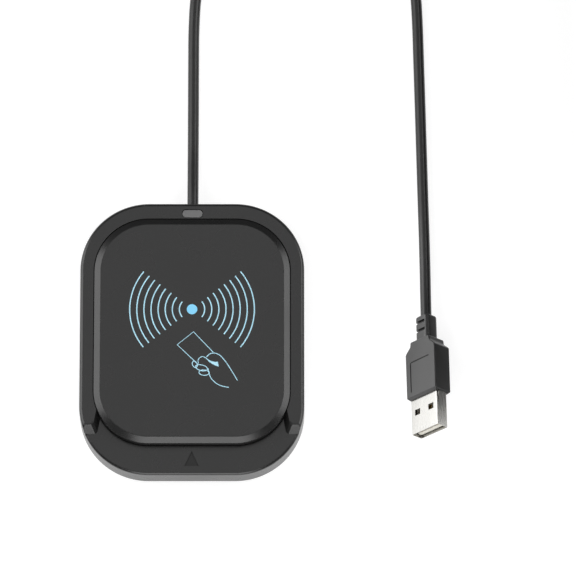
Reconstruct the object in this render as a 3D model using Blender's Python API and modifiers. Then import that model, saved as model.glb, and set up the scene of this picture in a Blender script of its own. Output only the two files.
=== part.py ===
"""Desktop RFID card reader with its USB lead.

Metres, +Z up. The origin is on the table under the middle of the reader. The lead leaves the
back wall along +Y, is stowed in a round coil behind the reader, and its plug lies on the right.
"""

from math import ceil, cos, pi, radians, sin

import bmesh
import bpy
from mathutils import Matrix, Vector

MM = 0.001

# Clearances
gap = 0.3 * MM
panel_gap = 0.2 * MM
window_gap = 0.15 * MM
cut_over = 1.0 * MM

# Reader body
reader_width = 72.0 * MM
reader_length = 89.6 * MM
corner_radius = 22.2 * MM
wall = 2.0 * MM
edge_round = 0.84 * MM
rim_round = 1.25 * MM
seam_lift = 0.05 * MM
foot_stand = 0.8 * MM
ledge_height = 9.2 * MM
rim_rise = 2.8 * MM
rim_height = ledge_height + rim_rise
deck = 2.0 * MM
shelf_width = 1.5 * MM
shelf_thick = 1.0 * MM

# Horns: the front ends of the raised rim
horn_back = 15.8 * MM
horn_foot_back = 13.4 * MM
horn_flat = 3.7 * MM
horn_side_slope = 1.2 * MM
horn_lean = 0.2
horn_corner = 0.9 * MM

# Card platform
side_rim = 4.5 * MM
back_rim = 5.4 * MM
front_ledge = 9.6 * MM
platform_corner = 17.6 * MM
platform_rise = 1.0 * MM
platform_chamfer = 2.05 * MM
platform_wall = 1.8 * MM
platform_top = rim_height + platform_rise

# Base
base_floor = 1.8 * MM
base_lip = 1.5 * MM
foot_radius = 5.0 * MM
foot_thick = 1.4 * MM
foot_recess = 0.9 * MM
foot_round = 0.3 * MM
plate_width = 36.0 * MM
plate_length = 24.0 * MM
plate_thick = 0.3 * MM
plate_corner = 1.0 * MM

# Case screws, their pillars and bosses
screw_x = 24.5 * MM
screw_front = 24.0 * MM
screw_back = 28.0 * MM
screw_radius = 1.0 * MM
screw_head_radius = 2.1 * MM
screw_head_thick = 1.1 * MM
screw_tip_room = 0.5 * MM
pillar_radius = 3.4 * MM
pillar_height = 2.1 * MM
boss_radius = 2.7 * MM

# Main board and what is on it
board_width = 41.0 * MM
board_front = 22.0 * MM
board_from_back = 8.8 * MM
board_thick = 1.2 * MM
board_under_panel = 3.3 * MM
board_corner = 2.0 * MM
tongue_width = 9.0 * MM
post_radius = 2.2 * MM
board_screw_radius = 0.8 * MM
board_screw_head = 1.7 * MM
board_screw_head_thick = 0.9 * MM
board_screw_length = 4.0 * MM
board_screws = ((-13.0 * MM, -14.0 * MM), (13.0 * MM, 31.0 * MM))
# Components, each as X, Y, width, length, thickness
reader_chip = (0.0 * MM, 8.0 * MM, 5.0 * MM, 5.0 * MM, 0.9 * MM)
controller_chip = (-6.0 * MM, -5.0 * MM, 7.0 * MM, 7.0 * MM, 0.9 * MM)
crystal = (8.0 * MM, 8.0 * MM, 3.2 * MM, 5.0 * MM, 0.8 * MM)
regulator = (9.0 * MM, -7.0 * MM, 3.0 * MM, 2.9 * MM, 0.9 * MM)
light_from_end = 1.0 * MM
light_size = 1.6 * MM
light_thick = 0.7 * MM
cable_header = (0.0 * MM, 19.9 * MM, 10.0 * MM, 4.8 * MM, 3.4 * MM)
buzzer_place = (11.0 * MM, -8.0 * MM)
buzzer_radius = 4.5 * MM
buzzer_share = 0.84

# Plug housing on the header, and its four wires
housing_width = 9.2 * MM
housing_length = 5.4 * MM
housing_thick = 3.0 * MM
housing_drop = 0.5 * MM
wire_radius = 0.45 * MM
wire_pitch = 2.0 * MM
wire_bunch = 0.9 * MM

# Antenna coil under the platform
antenna_width = 39.0 * MM
antenna_length = 48.0 * MM
antenna_corner = 9.0 * MM
antenna_band = 2.7 * MM
antenna_thick = 0.7 * MM

# Light window in the back rim
window_width = 6.46 * MM
window_depth = 2.54 * MM
window_corner = 1.1 * MM
window_thick = 1.5 * MM

# Arrow sunk in the ledge
arrow_half = 2.3 * MM
arrow_length = 4.9 * MM
arrow_depth = 0.25 * MM
arrow_from_platform = 1.8 * MM

# Lead
cord_diameter = 3.6 * MM
cord_radius = cord_diameter / 2
grommet_radius = 2.4 * MM
grommet_flange = 2.7 * MM
grommet_flange_thick = 1.6 * MM
grommet_inside = 8.8 * MM

# Coil of the stowed length: two layers of turns
coil_x = 37.0 * MM
coil_behind = 102.2 * MM
coil_reach = 30.4 * MM
coil_inner_turn = 14.2 * MM
tie_thick = 0.6 * MM
tie_width = 7.0 * MM
coil_low = tie_thick + gap
coil_high = coil_low + 2 * cord_diameter

# Plug, in its own frame: +Y towards the mouth, +Z out of the upper broad face
plug_place = Vector((75.2 * MM, 8.6 * MM, 0.0))
plug_pitch = radians(10.0)
plug_roll = radians(46.0)
plug_turn = radians(1.2)
relief_length = 8.6 * MM
relief_width = 5.8 * MM
relief_thick = 5.2 * MM
relief_corner = 1.5 * MM
relief_end_round = 0.7 * MM
slot_width = 0.95 * MM
slot_depth = 0.9 * MM
slot_places = (2.3 * MM, 5.2 * MM)
plug_body_width = 13.2 * MM
plug_body_thick = 7.0 * MM
plug_neck_width = 8.8 * MM
plug_neck_length = 1.7 * MM
plug_slope_length = 2.0 * MM
plug_body_length = 19.9 * MM
plug_round = 0.6 * MM
shell_width = 12.0 * MM
shell_thick = 4.5 * MM
shell_sheet = 0.3 * MM
shell_corner = 0.6 * MM
shell_length = 11.8 * MM
shell_root = 4.0 * MM
shell_hole_width = 2.3 * MM
shell_hole_length = 2.0 * MM
shell_hole_x = 3.0 * MM
shell_hole_y = 4.7 * MM
tongue_thick = 1.7 * MM
tongue_short = 0.8 * MM
contact_places = (-3.5 * MM, -1.0 * MM, 1.0 * MM, 3.5 * MM)
contact_width = 1.0 * MM
contact_length = 7.4 * MM
contact_thick = 0.2 * MM

# Values worked out from those above
back_y = reader_length / 2
front_y = -reader_length / 2
platform_back = back_y - back_rim
platform_front = front_y + front_ledge
platform_middle = (platform_back + platform_front) / 2
platform_half = reader_width / 2 - side_rim
window_middle = platform_back + back_rim / 2 - edge_round
floor_top = foot_stand + base_floor
deck_under = ledge_height - deck
shelf_top = deck_under + shelf_thick
panel_under = platform_top - platform_wall
tray_back = back_y - wall - gap
tray_top = deck_under - gap
pillar_top = floor_top + pillar_height
screw_spots = [(x, y) for x in (-screw_x, screw_x) for y in (-screw_front, screw_back)]
screw_head_low = foot_stand + foot_recess + gap
screw_head_high = screw_head_low + screw_head_thick
screw_tip = panel_under - cut_over - screw_tip_room
board_back = back_y - board_from_back
board_bottom = panel_under - board_under_panel
board_top = board_bottom + board_thick
buzzer_thick = buzzer_share * (board_bottom - gap - floor_top)
status_light = (0.0, window_middle - light_from_end, light_size, light_size, light_thick)
cord_exit_height = deck_under - gap - grommet_flange
coil_centre = Vector((coil_x, back_y + coil_behind, 0.0))
coil_outer_turn = coil_reach - cord_diameter
plug_shoulder = relief_length + plug_neck_length + plug_slope_length
plug_flat_width = plug_body_width / 2 - plug_round
plug_flat_thick = plug_body_thick / 2 - plug_round
plug_low = plug_flat_width * sin(plug_roll) + plug_flat_thick * cos(plug_roll) + plug_round
plug_lift = plug_low * cos(plug_pitch) - plug_shoulder * sin(plug_pitch)


def from_wall(x, y, rise):
    """A point of the lead, in millimetres from the back wall and above where it lies on the table."""
    return Vector((x * MM, back_y + y * MM, cord_radius + rise * MM))


def from_coil(x, y, rise):
    return coil_centre + Vector((x * MM, y * MM, cord_radius + rise * MM))


def from_plug(x, y, rise):
    return plug_place + Vector((x * MM, y * MM, cord_radius + rise * MM))


# Stretches of the free lead, by hand: from the grommet to the coil, and from the coil to the plug
exit_rise = (cord_exit_height - cord_radius) / MM
plug_rise = (plug_lift - cord_radius) / MM
lead_route = (
    from_wall(0.0, 0.3, exit_rise),
    from_wall(0.0, 5.2, exit_rise * 0.92),
    from_wall(0.0, 11.2, exit_rise * 0.64),
    from_wall(0.0, 18.2, exit_rise * 0.3),
    from_wall(0.0, 26.2, exit_rise * 0.08),
    from_wall(0.0, 35.2, 0.02),
    from_wall(0.0, 50.2, 0.02),
    from_coil(-36.9, -39.0, 0.02),
    from_coil(-36.3, -29.0, 0.1),
    from_coil(-34.9, -20.0, 0.4),
    from_coil(-32.7, -12.0, 0.7),
    from_coil(-30.3, -5.8, 0.9),
)
tail_route = (
    from_coil(30.3, -5.8, 4.1),
    from_coil(32.4, -12.0, 3.3),
    from_coil(34.3, -20.0, 1.9),
    from_coil(35.5, -29.0, 0.6),
    from_coil(36.0, -38.0, 0.1),
    from_coil(36.3, -49.0, 0.02),
    from_plug(-1.5, 73.4, 0.02),
    from_plug(-1.1, 56.4, 0.02),
    from_plug(-0.7, 39.4, plug_rise * 0.02),
    from_plug(-0.4, 27.4, plug_rise * 0.06),
    from_plug(-0.2, 16.4, plug_rise * 0.26),
    from_plug(-0.1, 7.4, plug_rise * 0.6),
    from_plug(0.0, 0.35, plug_rise),
)


def clear_scene():
    for obj in list(bpy.data.objects):
        bpy.data.objects.remove(obj)


def make_collection(name, hidden):
    collection = bpy.data.collections.new(name)
    bpy.context.scene.collection.children.link(collection)
    collection.hide_render = hidden
    return collection


def finish(name, red, green, blue, roughness, metallic=0.0):
    """A plain Principled material."""
    material = bpy.data.materials.new(name)
    material.use_nodes = True
    shader = material.node_tree.nodes["Principled BSDF"]
    shader.inputs["Base Color"].default_value = (red, green, blue, 1.0)
    shader.inputs["Roughness"].default_value = roughness
    shader.inputs["Metallic"].default_value = metallic
    return material


def add_part(name, bm, material):
    """Puts a finished bmesh in the scene as one sub-part."""
    mesh = bpy.data.meshes.new(name)
    bmesh.ops.recalc_face_normals(bm, faces=bm.faces)
    bm.to_mesh(mesh)
    bm.free()
    mesh.shade_smooth()
    mesh.set_sharp_from_angle(angle=radians(30.0))
    mesh.materials.append(material)
    obj = bpy.data.objects.new(name, mesh)
    parts.objects.link(obj)
    return obj


def add_cutter(name, bm):
    mesh = bpy.data.meshes.new(name)
    bmesh.ops.recalc_face_normals(bm, faces=bm.faces)
    bm.to_mesh(mesh)
    bm.free()
    obj = bpy.data.objects.new(name, mesh)
    cutters.objects.link(obj)
    obj.hide_render = True
    obj.display_type = "WIRE"
    return obj


def combine(obj, other, operation="DIFFERENCE"):
    modifier = obj.modifiers.new(operation.title() + " " + other.name, "BOOLEAN")
    modifier.operation = operation
    modifier.object = other


def block(low, high):
    """A bmesh box between two corners."""
    bm = bmesh.new()
    low, high = Vector(low), Vector(high)
    size = high - low
    bmesh.ops.create_cube(bm, size=1.0)
    bmesh.ops.scale(bm, vec=size, verts=bm.verts)
    bmesh.ops.translate(bm, vec=(low + high) / 2, verts=bm.verts)
    return bm


def upright_edges(bm):
    return [e for e in bm.edges if abs((e.verts[0].co - e.verts[1].co).normalized().z) > 0.99]


def edges_at(bm, height):
    """The edges round the flat face at this height."""
    return [
        e
        for e in bm.edges
        if all(abs(v.co.z - height) < 1e-6 for v in e.verts)
        and any(abs(f.normal.z) < 0.5 for f in e.link_faces)
    ]


def rounded_prism(low, high, corner, segments=12):
    """A box whose four upright edges are rounded."""
    bm = block(low, high)
    bmesh.ops.bevel(
        bm, geom=upright_edges(bm), offset=corner, segments=segments, profile=0.5, affect="EDGES"
    )
    return bm


def round_rim(bm, height, radius, segments=3):
    """Rounds the edge of the flat face at this height."""
    bm.normal_update()
    bmesh.ops.bevel(
        bm, geom=edges_at(bm, height), offset=radius, segments=segments, profile=0.5, affect="EDGES"
    )


def pin(bm, x, y, low, high, radius, segments=20):
    """Adds an upright cylinder to a bmesh."""
    place = Matrix.Translation((x, y, (low + high) / 2))
    bmesh.ops.create_cone(
        bm,
        cap_ends=True,
        segments=segments,
        radius1=radius,
        radius2=radius,
        depth=high - low,
        matrix=place,
    )


def pins(spots, low, high, radius, segments=20):
    bm = bmesh.new()
    for x, y in spots:
        pin(bm, x, y, low, high, radius, segments)
    return bm


def lying_pin(radius, y_low, y_high, height, segments=24):
    """A cylinder along Y at x = 0."""
    bm = bmesh.new()
    turn = Matrix.Rotation(radians(90.0), 4, "X")
    place = Matrix.Translation((0.0, (y_low + y_high) / 2, height)) @ turn
    bmesh.ops.create_cone(
        bm,
        cap_ends=True,
        segments=segments,
        radius1=radius,
        radius2=radius,
        depth=y_high - y_low,
        matrix=place,
    )
    return bm


def reader_prism(inset, low, high, segments=14):
    """A slice of the reader's outline, drawn in by inset."""
    half = reader_width / 2 - inset
    long_half = reader_length / 2 - inset
    return rounded_prism(
        (-half, -long_half, low), (half, long_half, high), corner_radius - inset, segments
    )


def platform_prism(inset, low, high, segments=14):
    """A slice of the platform's outline, drawn in by inset."""
    half = platform_half - inset
    return rounded_prism(
        (-half, platform_front + inset, low),
        (half, platform_back - inset, high),
        platform_corner - inset,
        segments,
    )


def rounded_corner(before, corner, after, reach, steps=4):
    """Points of a curve that rounds one corner of an outline."""
    corner = Vector(corner)
    start = corner + (Vector(before) - corner).normalized() * reach
    end = corner + (Vector(after) - corner).normalized() * reach
    curve = []
    for i in range(steps + 1):
        t = i / steps
        curve.append(start * (1 - t) ** 2 + corner * 2 * t * (1 - t) + end * t * t)
    return curve


def horn_outline(drop):
    """Half the outline of the space in front of the horns: drop is 0 at the rim, 1 at the ledge."""
    edge = reader_width / 2 - edge_round - horn_flat - horn_side_slope * drop
    end = front_y + horn_back + (horn_foot_back - horn_back) * drop
    behind = platform_front + platform_corner
    start = (edge - horn_lean * (behind - end), behind)
    tip = (edge, end)
    outside = (reader_width / 2 + 4 * cut_over, end)
    corner = rounded_corner(start, tip, outside, horn_corner)
    far = (outside[0], front_y - 4 * cut_over)
    return [Vector(start), *corner, Vector(outside), Vector(far)]


def front_space():
    """The tapered space above the ledge, between and in front of the horns."""
    bm = bmesh.new()
    top_drop = -cut_over / rim_rise
    levels = (
        (deck_under - cut_over, 1.0),
        (ledge_height, 1.0),
        (rim_height + cut_over, top_drop),
    )
    rings = []
    for height, drop in levels:
        half = horn_outline(drop)
        outline = [(p.x, p.y) for p in half] + [(-p.x, p.y) for p in reversed(half)]
        rings.append([bm.verts.new((x, y, height)) for x, y in outline])
    for lower, upper in zip(rings, rings[1:]):
        for i, corner in enumerate(lower):
            j = (i + 1) % len(lower)
            bm.faces.new((corner, lower[j], upper[j], upper[i]))
    bm.faces.new(rings[0])
    bm.faces.new(rings[-1])
    return bm


def arrow_space():
    """A triangular prism, its apex towards the platform."""
    bm = bmesh.new()
    bmesh.ops.create_cone(
        bm, cap_ends=True, segments=3, radius1=1.0, radius2=1.0, depth=2 * arrow_depth
    )
    tip = max(v.co.y for v in bm.verts)
    low = min(v.co.y for v in bm.verts)
    half = max(v.co.x for v in bm.verts)
    stretch = (arrow_half / half, arrow_length / (tip - low), 1.0)
    bmesh.ops.scale(bm, vec=stretch, verts=bm.verts)
    top = max(v.co.y for v in bm.verts)
    shift = (0.0, platform_front - arrow_from_platform - top, ledge_height)
    bmesh.ops.translate(bm, vec=shift, verts=bm.verts)
    return bm


def tongue_pocket():
    half = tongue_width / 2 + 2 * gap
    roof = rim_height - window_thick - window_gap
    low = (-half, board_back - cut_over, deck_under - cut_over)
    return add_cutter("tongue_pocket", block(low, (half, window_middle + 3 * gap, roof)))


def make_top_cover():
    low = reader_prism(0.0, foot_stand, ledge_height)
    round_rim(low, ledge_height, edge_round)
    cover = add_part("top_cover", low, black_plastic)

    high = reader_prism(0.0, ledge_height - edge_round + seam_lift, rim_height)
    round_rim(high, rim_height, rim_round)
    rim = add_cutter("rim_body", high)
    combine(rim, add_cutter("front_space", front_space()))
    combine(cover, rim, "UNION")

    cavity = add_cutter("cover_cavity", reader_prism(wall, foot_stand - cut_over, deck_under))
    combine(cover, cavity)
    opening = platform_prism(-panel_gap, shelf_top, platform_top + cut_over)
    combine(cover, add_cutter("platform_opening", opening))
    through = platform_prism(shelf_width, deck_under - cut_over, shelf_top + cut_over)
    combine(cover, add_cutter("shelf_opening", through))
    combine(cover, pocket)
    combine(cover, add_cutter("window_hole", window_prism(window_gap, panel_under - cut_over)))
    cord_hole = lying_pin(grommet_radius + gap, back_y - 2 * wall, back_y + cut_over, cord_exit_height)
    combine(cover, add_cutter("cord_hole", cord_hole))
    combine(cover, add_cutter("arrow_space", arrow_space()))


def window_prism(clearance, low, high=rim_height + cut_over):
    half = window_width / 2 + clearance
    deep = window_depth / 2 + clearance
    return rounded_prism(
        (-half, window_middle - deep, low),
        (half, window_middle + deep, high),
        window_corner + clearance,
        5,
    )


def make_light_window():
    add_part("light_window", window_prism(0.0, rim_height - window_thick, rim_height), lens_grey)


def make_card_platform():
    bm = platform_prism(0.0, shelf_top + gap, rim_height)
    bm.normal_update()
    top = [f for f in bm.faces if f.normal.z > 0.9]
    bmesh.ops.inset_region(bm, faces=top, thickness=platform_chamfer, depth=platform_rise)
    platform = add_part("card_platform", bm, black_plastic)
    hollow = platform_prism(platform_wall, shelf_top - cut_over, panel_under)
    combine(platform, add_cutter("platform_hollow", hollow))
    boss_low = pillar_top + gap
    bosses = pins(screw_spots, boss_low, panel_under + cut_over / 2, boss_radius)
    combine(platform, add_cutter("platform_bosses", bosses), "UNION")
    pilots = pins(screw_spots, boss_low - cut_over, panel_under - cut_over, screw_radius + gap, 16)
    combine(platform, add_cutter("pilot_holes", pilots))
    combine(platform, pocket)


def make_base_shell():
    tray = reader_prism(wall + gap, foot_stand, tray_top)
    base = add_part("base_shell", tray, black_plastic)
    hollow = reader_prism(wall + gap + base_lip, floor_top, tray_top + cut_over)
    combine(base, add_cutter("tray_hollow", hollow))
    rise = pins(screw_spots, floor_top - cut_over, pillar_top, pillar_radius)
    combine(base, add_cutter("screw_pillars", rise), "UNION")
    posts = pins(board_screws, floor_top - cut_over, board_bottom - gap, post_radius)
    combine(base, add_cutter("board_posts", posts), "UNION")
    recess = foot_stand + foot_recess
    feet = pins(screw_spots, foot_stand - cut_over, recess, foot_radius + gap, 28)
    combine(base, add_cutter("foot_recesses", feet))
    seat = screw_head_high + gap
    heads = pins(screw_spots, foot_stand, seat, screw_head_radius + gap)
    combine(base, add_cutter("head_recesses", heads))
    holes = pins(screw_spots, foot_stand, pillar_top + cut_over, screw_radius + gap, 16)
    combine(base, add_cutter("screw_holes", holes))
    drop = board_top + gap - board_screw_length - gap
    drilled = pins(board_screws, drop, board_top, board_screw_radius + gap, 12)
    combine(base, add_cutter("post_holes", drilled))
    width = plate_width / 2 + gap
    length = plate_length / 2 + gap
    plate_low = (-width, -length, foot_stand - cut_over)
    plate = block(plate_low, (width, length, foot_stand + plate_thick + gap))
    combine(base, add_cutter("plate_recess", plate))
    half = grommet_flange + gap
    notch = block(
        (-half, back_y - grommet_inside - gap, cord_exit_height - half),
        (half, tray_back + cut_over, tray_top + cut_over),
    )
    combine(base, add_cutter("grommet_notch", notch))


def make_feet():
    for number, (x, y) in enumerate(screw_spots, 1):
        bm = pins([(x, y)], 0.0, foot_thick, foot_radius, 28)
        round_rim(bm, 0.0, foot_round, 2)
        add_part(f"foot_{number}", bm, rubber)


def make_rating_plate():
    half = (plate_width / 2, plate_length / 2)
    low = (-half[0], -half[1], foot_stand)
    high = (half[0], half[1], foot_stand + plate_thick)
    add_part("rating_plate", rounded_prism(low, high, plate_corner, 3), label_grey)


def turned(name, material, profile, x, y, segments=16):
    """A piece turned about an upright axis, from its profile of (radius, height) top to bottom."""
    bm = bmesh.new()
    points = [bm.verts.new((radius, 0.0, height)) for radius, height in profile]
    for upper, lower in zip(points, points[1:]):
        bm.edges.new((upper, lower))
    mesh = bpy.data.meshes.new(name)
    bm.to_mesh(mesh)
    bm.free()
    mesh.materials.append(material)
    obj = bpy.data.objects.new(name, mesh)
    obj.location = (x, y, 0.0)
    parts.objects.link(obj)
    screw = obj.modifiers.new("Turn", "SCREW")
    screw.steps = segments
    screw.render_steps = segments
    screw.use_merge_vertices = True
    screw.merge_threshold = 0.00001
    screw.use_smooth_shade = True
    return obj


def screw_profile(head_low, head_high, head_radius, shank_radius, tip, head_up):
    """Head and shank, with the drive side of the head at head_up's end."""
    if head_up:
        return (
            (0.0, head_high),
            (head_radius, head_high),
            (head_radius, head_low),
            (shank_radius, head_low),
            (shank_radius, tip + shank_radius),
            (0.0, tip),
        )
    return (
        (0.0, tip),
        (shank_radius, tip - shank_radius),
        (shank_radius, head_high),
        (head_radius, head_high),
        (head_radius, head_low),
        (0.0, head_low),
    )


def make_screws():
    heights = (screw_head_low, screw_head_high)
    case = screw_profile(*heights, screw_head_radius, screw_radius, screw_tip, False)
    for number, (x, y) in enumerate(screw_spots, 1):
        turned(f"case_screw_{number}", steel, case, x, y)
    low = board_top + gap
    high = low + board_screw_head_thick
    end = low - board_screw_length
    small = screw_profile(low, high, board_screw_head, board_screw_radius, end, True)
    for number, (x, y) in enumerate(board_screws, 1):
        turned(f"board_screw_{number}", steel, small, x, y, 12)


def make_main_board():
    half = board_width / 2
    bm = rounded_prism(
        (-half, -board_front, board_bottom), (half, board_back, board_top), board_corner, 3
    )
    board = add_part("main_board", bm, board_green)
    low = (-tongue_width / 2, board_back - cut_over, board_bottom)
    tongue = block(low, (tongue_width / 2, window_middle, board_top))
    combine(board, add_cutter("board_tongue", tongue), "UNION")
    reach = board_bottom - cut_over
    holes = pins(board_screws, reach, board_top + cut_over, board_screw_radius + gap, 12)
    combine(board, add_cutter("board_holes", holes))


def chip(name, material, x, y, width, length, thick, under=False):
    """A component on top of the board, or under it."""
    low = board_bottom - gap - thick if under else board_top + gap
    bm = block(
        (x - width / 2, y - length / 2, low), (x + width / 2, y + length / 2, low + thick)
    )
    add_part(name, bm, material)


def make_components():
    chip("reader_chip", chip_black, *reader_chip)
    chip("controller_chip", chip_black, *controller_chip)
    chip("crystal", steel, *crystal)
    chip("regulator", chip_black, *regulator)
    chip("status_light", lens_grey, *status_light)
    chip("cable_header", nylon, *cable_header, under=True)
    high = board_bottom - gap
    buzzer = pins([buzzer_place], high - buzzer_thick, high, buzzer_radius, 28)
    add_part("buzzer", buzzer, chip_black)


def make_antenna():
    high = panel_under - gap
    low = high - antenna_thick
    half = antenna_width / 2
    deep = antenna_length / 2
    middle = platform_middle
    outer = rounded_prism(
        (-half, middle - deep, low), (half, middle + deep, high), antenna_corner, 8
    )
    antenna = add_part("antenna_coil", outer, copper)
    half -= antenna_band
    deep -= antenna_band
    inner = rounded_prism(
        (-half, middle - deep, low - cut_over),
        (half, middle + deep, high + cut_over),
        antenna_corner - antenna_band,
        8,
    )
    combine(antenna, add_cutter("antenna_inside", inner))


def smooth_points(route, spacing):
    """Evenly spaced points on a smooth curve through a route."""
    stops = list(route)
    ends = [stops[0] * 2 - stops[1]] + stops + [stops[-1] * 2 - stops[-2]]
    fine = []
    steps = 24
    for a, b, c, d in zip(ends, ends[1:], ends[2:], ends[3:]):
        for i in range(steps):
            t = i / steps
            bend = (a * 2 - b * 5 + c * 4 - d) * t * t + (b * 3 - a - c * 3 + d) * t**3
            fine.append((b * 2 + (c - a) * t + bend) / 2)
    fine.append(stops[-1])
    travelled = [0.0]
    for a, b in zip(fine, fine[1:]):
        travelled.append(travelled[-1] + (b - a).length)
    count = ceil(travelled[-1] / spacing)
    points = []
    k = 0
    for i in range(count + 1):
        want = travelled[-1] * i / count
        while k < len(fine) - 2 and travelled[k + 1] < want:
            k += 1
        share = (want - travelled[k]) / (travelled[k + 1] - travelled[k])
        points.append(fine[k].lerp(fine[k + 1], min(share, 1.0)))
    return points


def tube(name, points, radius, material, resolution=2):
    curve = bpy.data.curves.new(name, "CURVE")
    curve.dimensions = "3D"
    curve.bevel_depth = radius
    curve.bevel_resolution = resolution
    curve.use_fill_caps = True
    spline = curve.splines.new("POLY")
    spline.points.add(len(points) - 1)
    for point, place in zip(spline.points, points):
        point.co = (*place, 1.0)
    curve.materials.append(material)
    parts.objects.link(bpy.data.objects.new(name, curve))


def make_cords():
    spacing = 2.5 * cord_diameter
    tube("cord_lead", smooth_points(lead_route, spacing), cord_radius, cord_black)
    tube("cord_tail", smooth_points(tail_route, spacing), cord_radius, cord_black)


def make_coil():
    """The turned ring that the coiled turns fill, with rounded outer corners."""
    outer = coil_outer_turn + cord_radius
    inner = coil_inner_turn - cord_radius
    corners = (
        (outer, coil_high, 1, 1),
        (outer, coil_low, 1, -1),
        (inner, coil_low, -1, -1),
        (inner, coil_high, -1, 1),
    )
    profile = []
    for radius, height, out, up in corners:
        centre = (radius - out * cord_radius, height - up * cord_radius)
        arc = (0.0, 45.0, 90.0)
        turning = arc[::-1] if out * up > 0 else arc
        for angle in turning:
            across = centre[0] + out * cord_radius * cos(radians(angle))
            along = centre[1] + up * cord_radius * sin(radians(angle))
            profile.append((across, along))
    profile.append(profile[0])
    turned("cord_coil", cord_black, profile, coil_centre.x, coil_centre.y, 40)


def make_tie():
    """A flat strap closed round one side of the coil."""
    near = coil_centre.y + coil_inner_turn - cord_radius - gap
    far = coil_centre.y + coil_outer_turn + cord_radius + gap
    left = coil_centre.x - tie_width / 2
    right = coil_centre.x + tie_width / 2
    bow = far - coil_centre.y - ((far - coil_centre.y) ** 2 - (tie_width / 2) ** 2) ** 0.5
    near -= bow
    outer = block(
        (left, near - tie_thick, 0.0), (right, far + tie_thick, coil_high + gap + tie_thick)
    )
    tie = add_part("cord_tie", outer, strap_black)
    inside = block(
        (left - cut_over, near, tie_thick), (right + cut_over, far, coil_high + gap)
    )
    combine(tie, add_cutter("tie_inside", inside))


def make_grommet():
    start = back_y - grommet_inside
    sleeve = lying_pin(grommet_radius, start, back_y, cord_exit_height)
    grommet = add_part("cord_grommet", sleeve, cord_black)
    flange_end = back_y - wall - gap
    flange = lying_pin(
        grommet_flange, flange_end - grommet_flange_thick, flange_end, cord_exit_height
    )
    combine(grommet, add_cutter("grommet_flange", flange), "UNION")


def make_leads():
    """The plug housing on the header, and the four wires from it to the cord's end."""
    front = cable_header[1] + cable_header[3] / 2 + gap
    rear = front + housing_length
    high = board_bottom - housing_drop
    low = high - housing_thick
    bm = block((-housing_width / 2, front, low), (housing_width / 2, rear, high))
    add_part("lead_housing", bm, nylon)
    end_y = back_y - grommet_inside - gap
    middle = max(cord_exit_height, floor_top + gap + wire_radius + wire_bunch)
    for number in range(4):
        place = number - 1.5
        begin = Vector((place * wire_pitch, rear + gap, (low + high) / 2))
        side = wire_bunch * (1 if place > 0 else -1)
        level = middle + wire_bunch * (1 if number in (1, 2) else -1)
        finish_at = Vector((side, end_y, level))
        reach = (end_y - rear) / 3
        guide = [
            begin,
            begin + Vector((0.0, reach, 0.0)),
            finish_at - Vector((0.0, reach, 0.0)),
            finish_at,
        ]
        tube(f"lead_wire_{number + 1}", guide, wire_radius, wire_finishes[number], 1)


def plug_frame():
    """An empty at the back of the plug's strain relief, with the plug's rest on the table."""
    turn = Matrix.Rotation(pi + plug_turn, 4, "Z")
    pitch = Matrix.Rotation(plug_pitch, 4, "X")
    roll = Matrix.Rotation(plug_roll, 4, "Y")
    frame = bpy.data.objects.new("plug_frame", None)
    parts.objects.link(frame)
    rear = plug_place + Vector((0.0, 0.0, plug_lift))
    frame.matrix_world = Matrix.Translation(rear) @ turn @ pitch @ roll
    return frame


def in_plug(obj, frame):
    obj.parent = frame
    return obj


def make_plug_relief(frame):
    half = relief_width / 2
    deep = relief_thick / 2
    bm = rounded_prism((-half, -deep, 0.0), (half, deep, relief_length - gap), relief_corner, 4)
    round_rim(bm, 0.0, relief_end_round, 2)
    bmesh.ops.rotate(bm, matrix=Matrix.Rotation(radians(-90.0), 3, "X"), verts=bm.verts)
    relief = in_plug(add_part("plug_relief", bm, cord_black), frame)
    for number, place in enumerate(slot_places, 1):
        for side in (-1, 1):
            edge = side * (deep - slot_depth)
            far = side * relief_thick
            cut = block(
                (-relief_width, place - slot_width / 2, min(edge, far)),
                (relief_width, place + slot_width / 2, max(edge, far)),
            )
            cutter = in_plug(add_cutter(f"relief_slot_{number}_{side}", cut), frame)
            combine(relief, cutter)


def make_plug_body(frame):
    """The moulded housing: a flat outline with stepped shoulders, thickened and rounded."""
    neck = plug_neck_width / 2
    full = plug_body_width / 2
    shoulder = relief_length + plug_neck_length
    front = relief_length + plug_body_length
    half = (
        (neck, relief_length),
        (neck, shoulder),
        (full, shoulder + plug_slope_length),
        (full, front),
    )
    bm = bmesh.new()
    outline = list(half) + [(-x, y) for x, y in reversed(half)]
    corners = [bm.verts.new((x, y, -plug_body_thick / 2)) for x, y in outline]
    face = bm.faces.new(corners)
    grown = bmesh.ops.extrude_face_region(bm, geom=[face])
    raised = [v for v in grown["geom"] if isinstance(v, bmesh.types.BMVert)]
    bmesh.ops.translate(bm, vec=(0.0, 0.0, plug_body_thick), verts=raised)
    bmesh.ops.recalc_face_normals(bm, faces=bm.faces)
    bmesh.ops.bevel(
        bm, geom=list(bm.edges), offset=plug_round, segments=2, profile=0.5, affect="EDGES"
    )
    body = in_plug(add_part("plug_body", bm, black_plastic), frame)
    pocket_half = shell_width / 2 + gap
    deep = shell_thick / 2 + gap
    socket = block(
        (-pocket_half, front - shell_root - gap, -deep), (pocket_half, front + cut_over, deep)
    )
    combine(body, in_plug(add_cutter("shell_socket", socket), frame))


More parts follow.
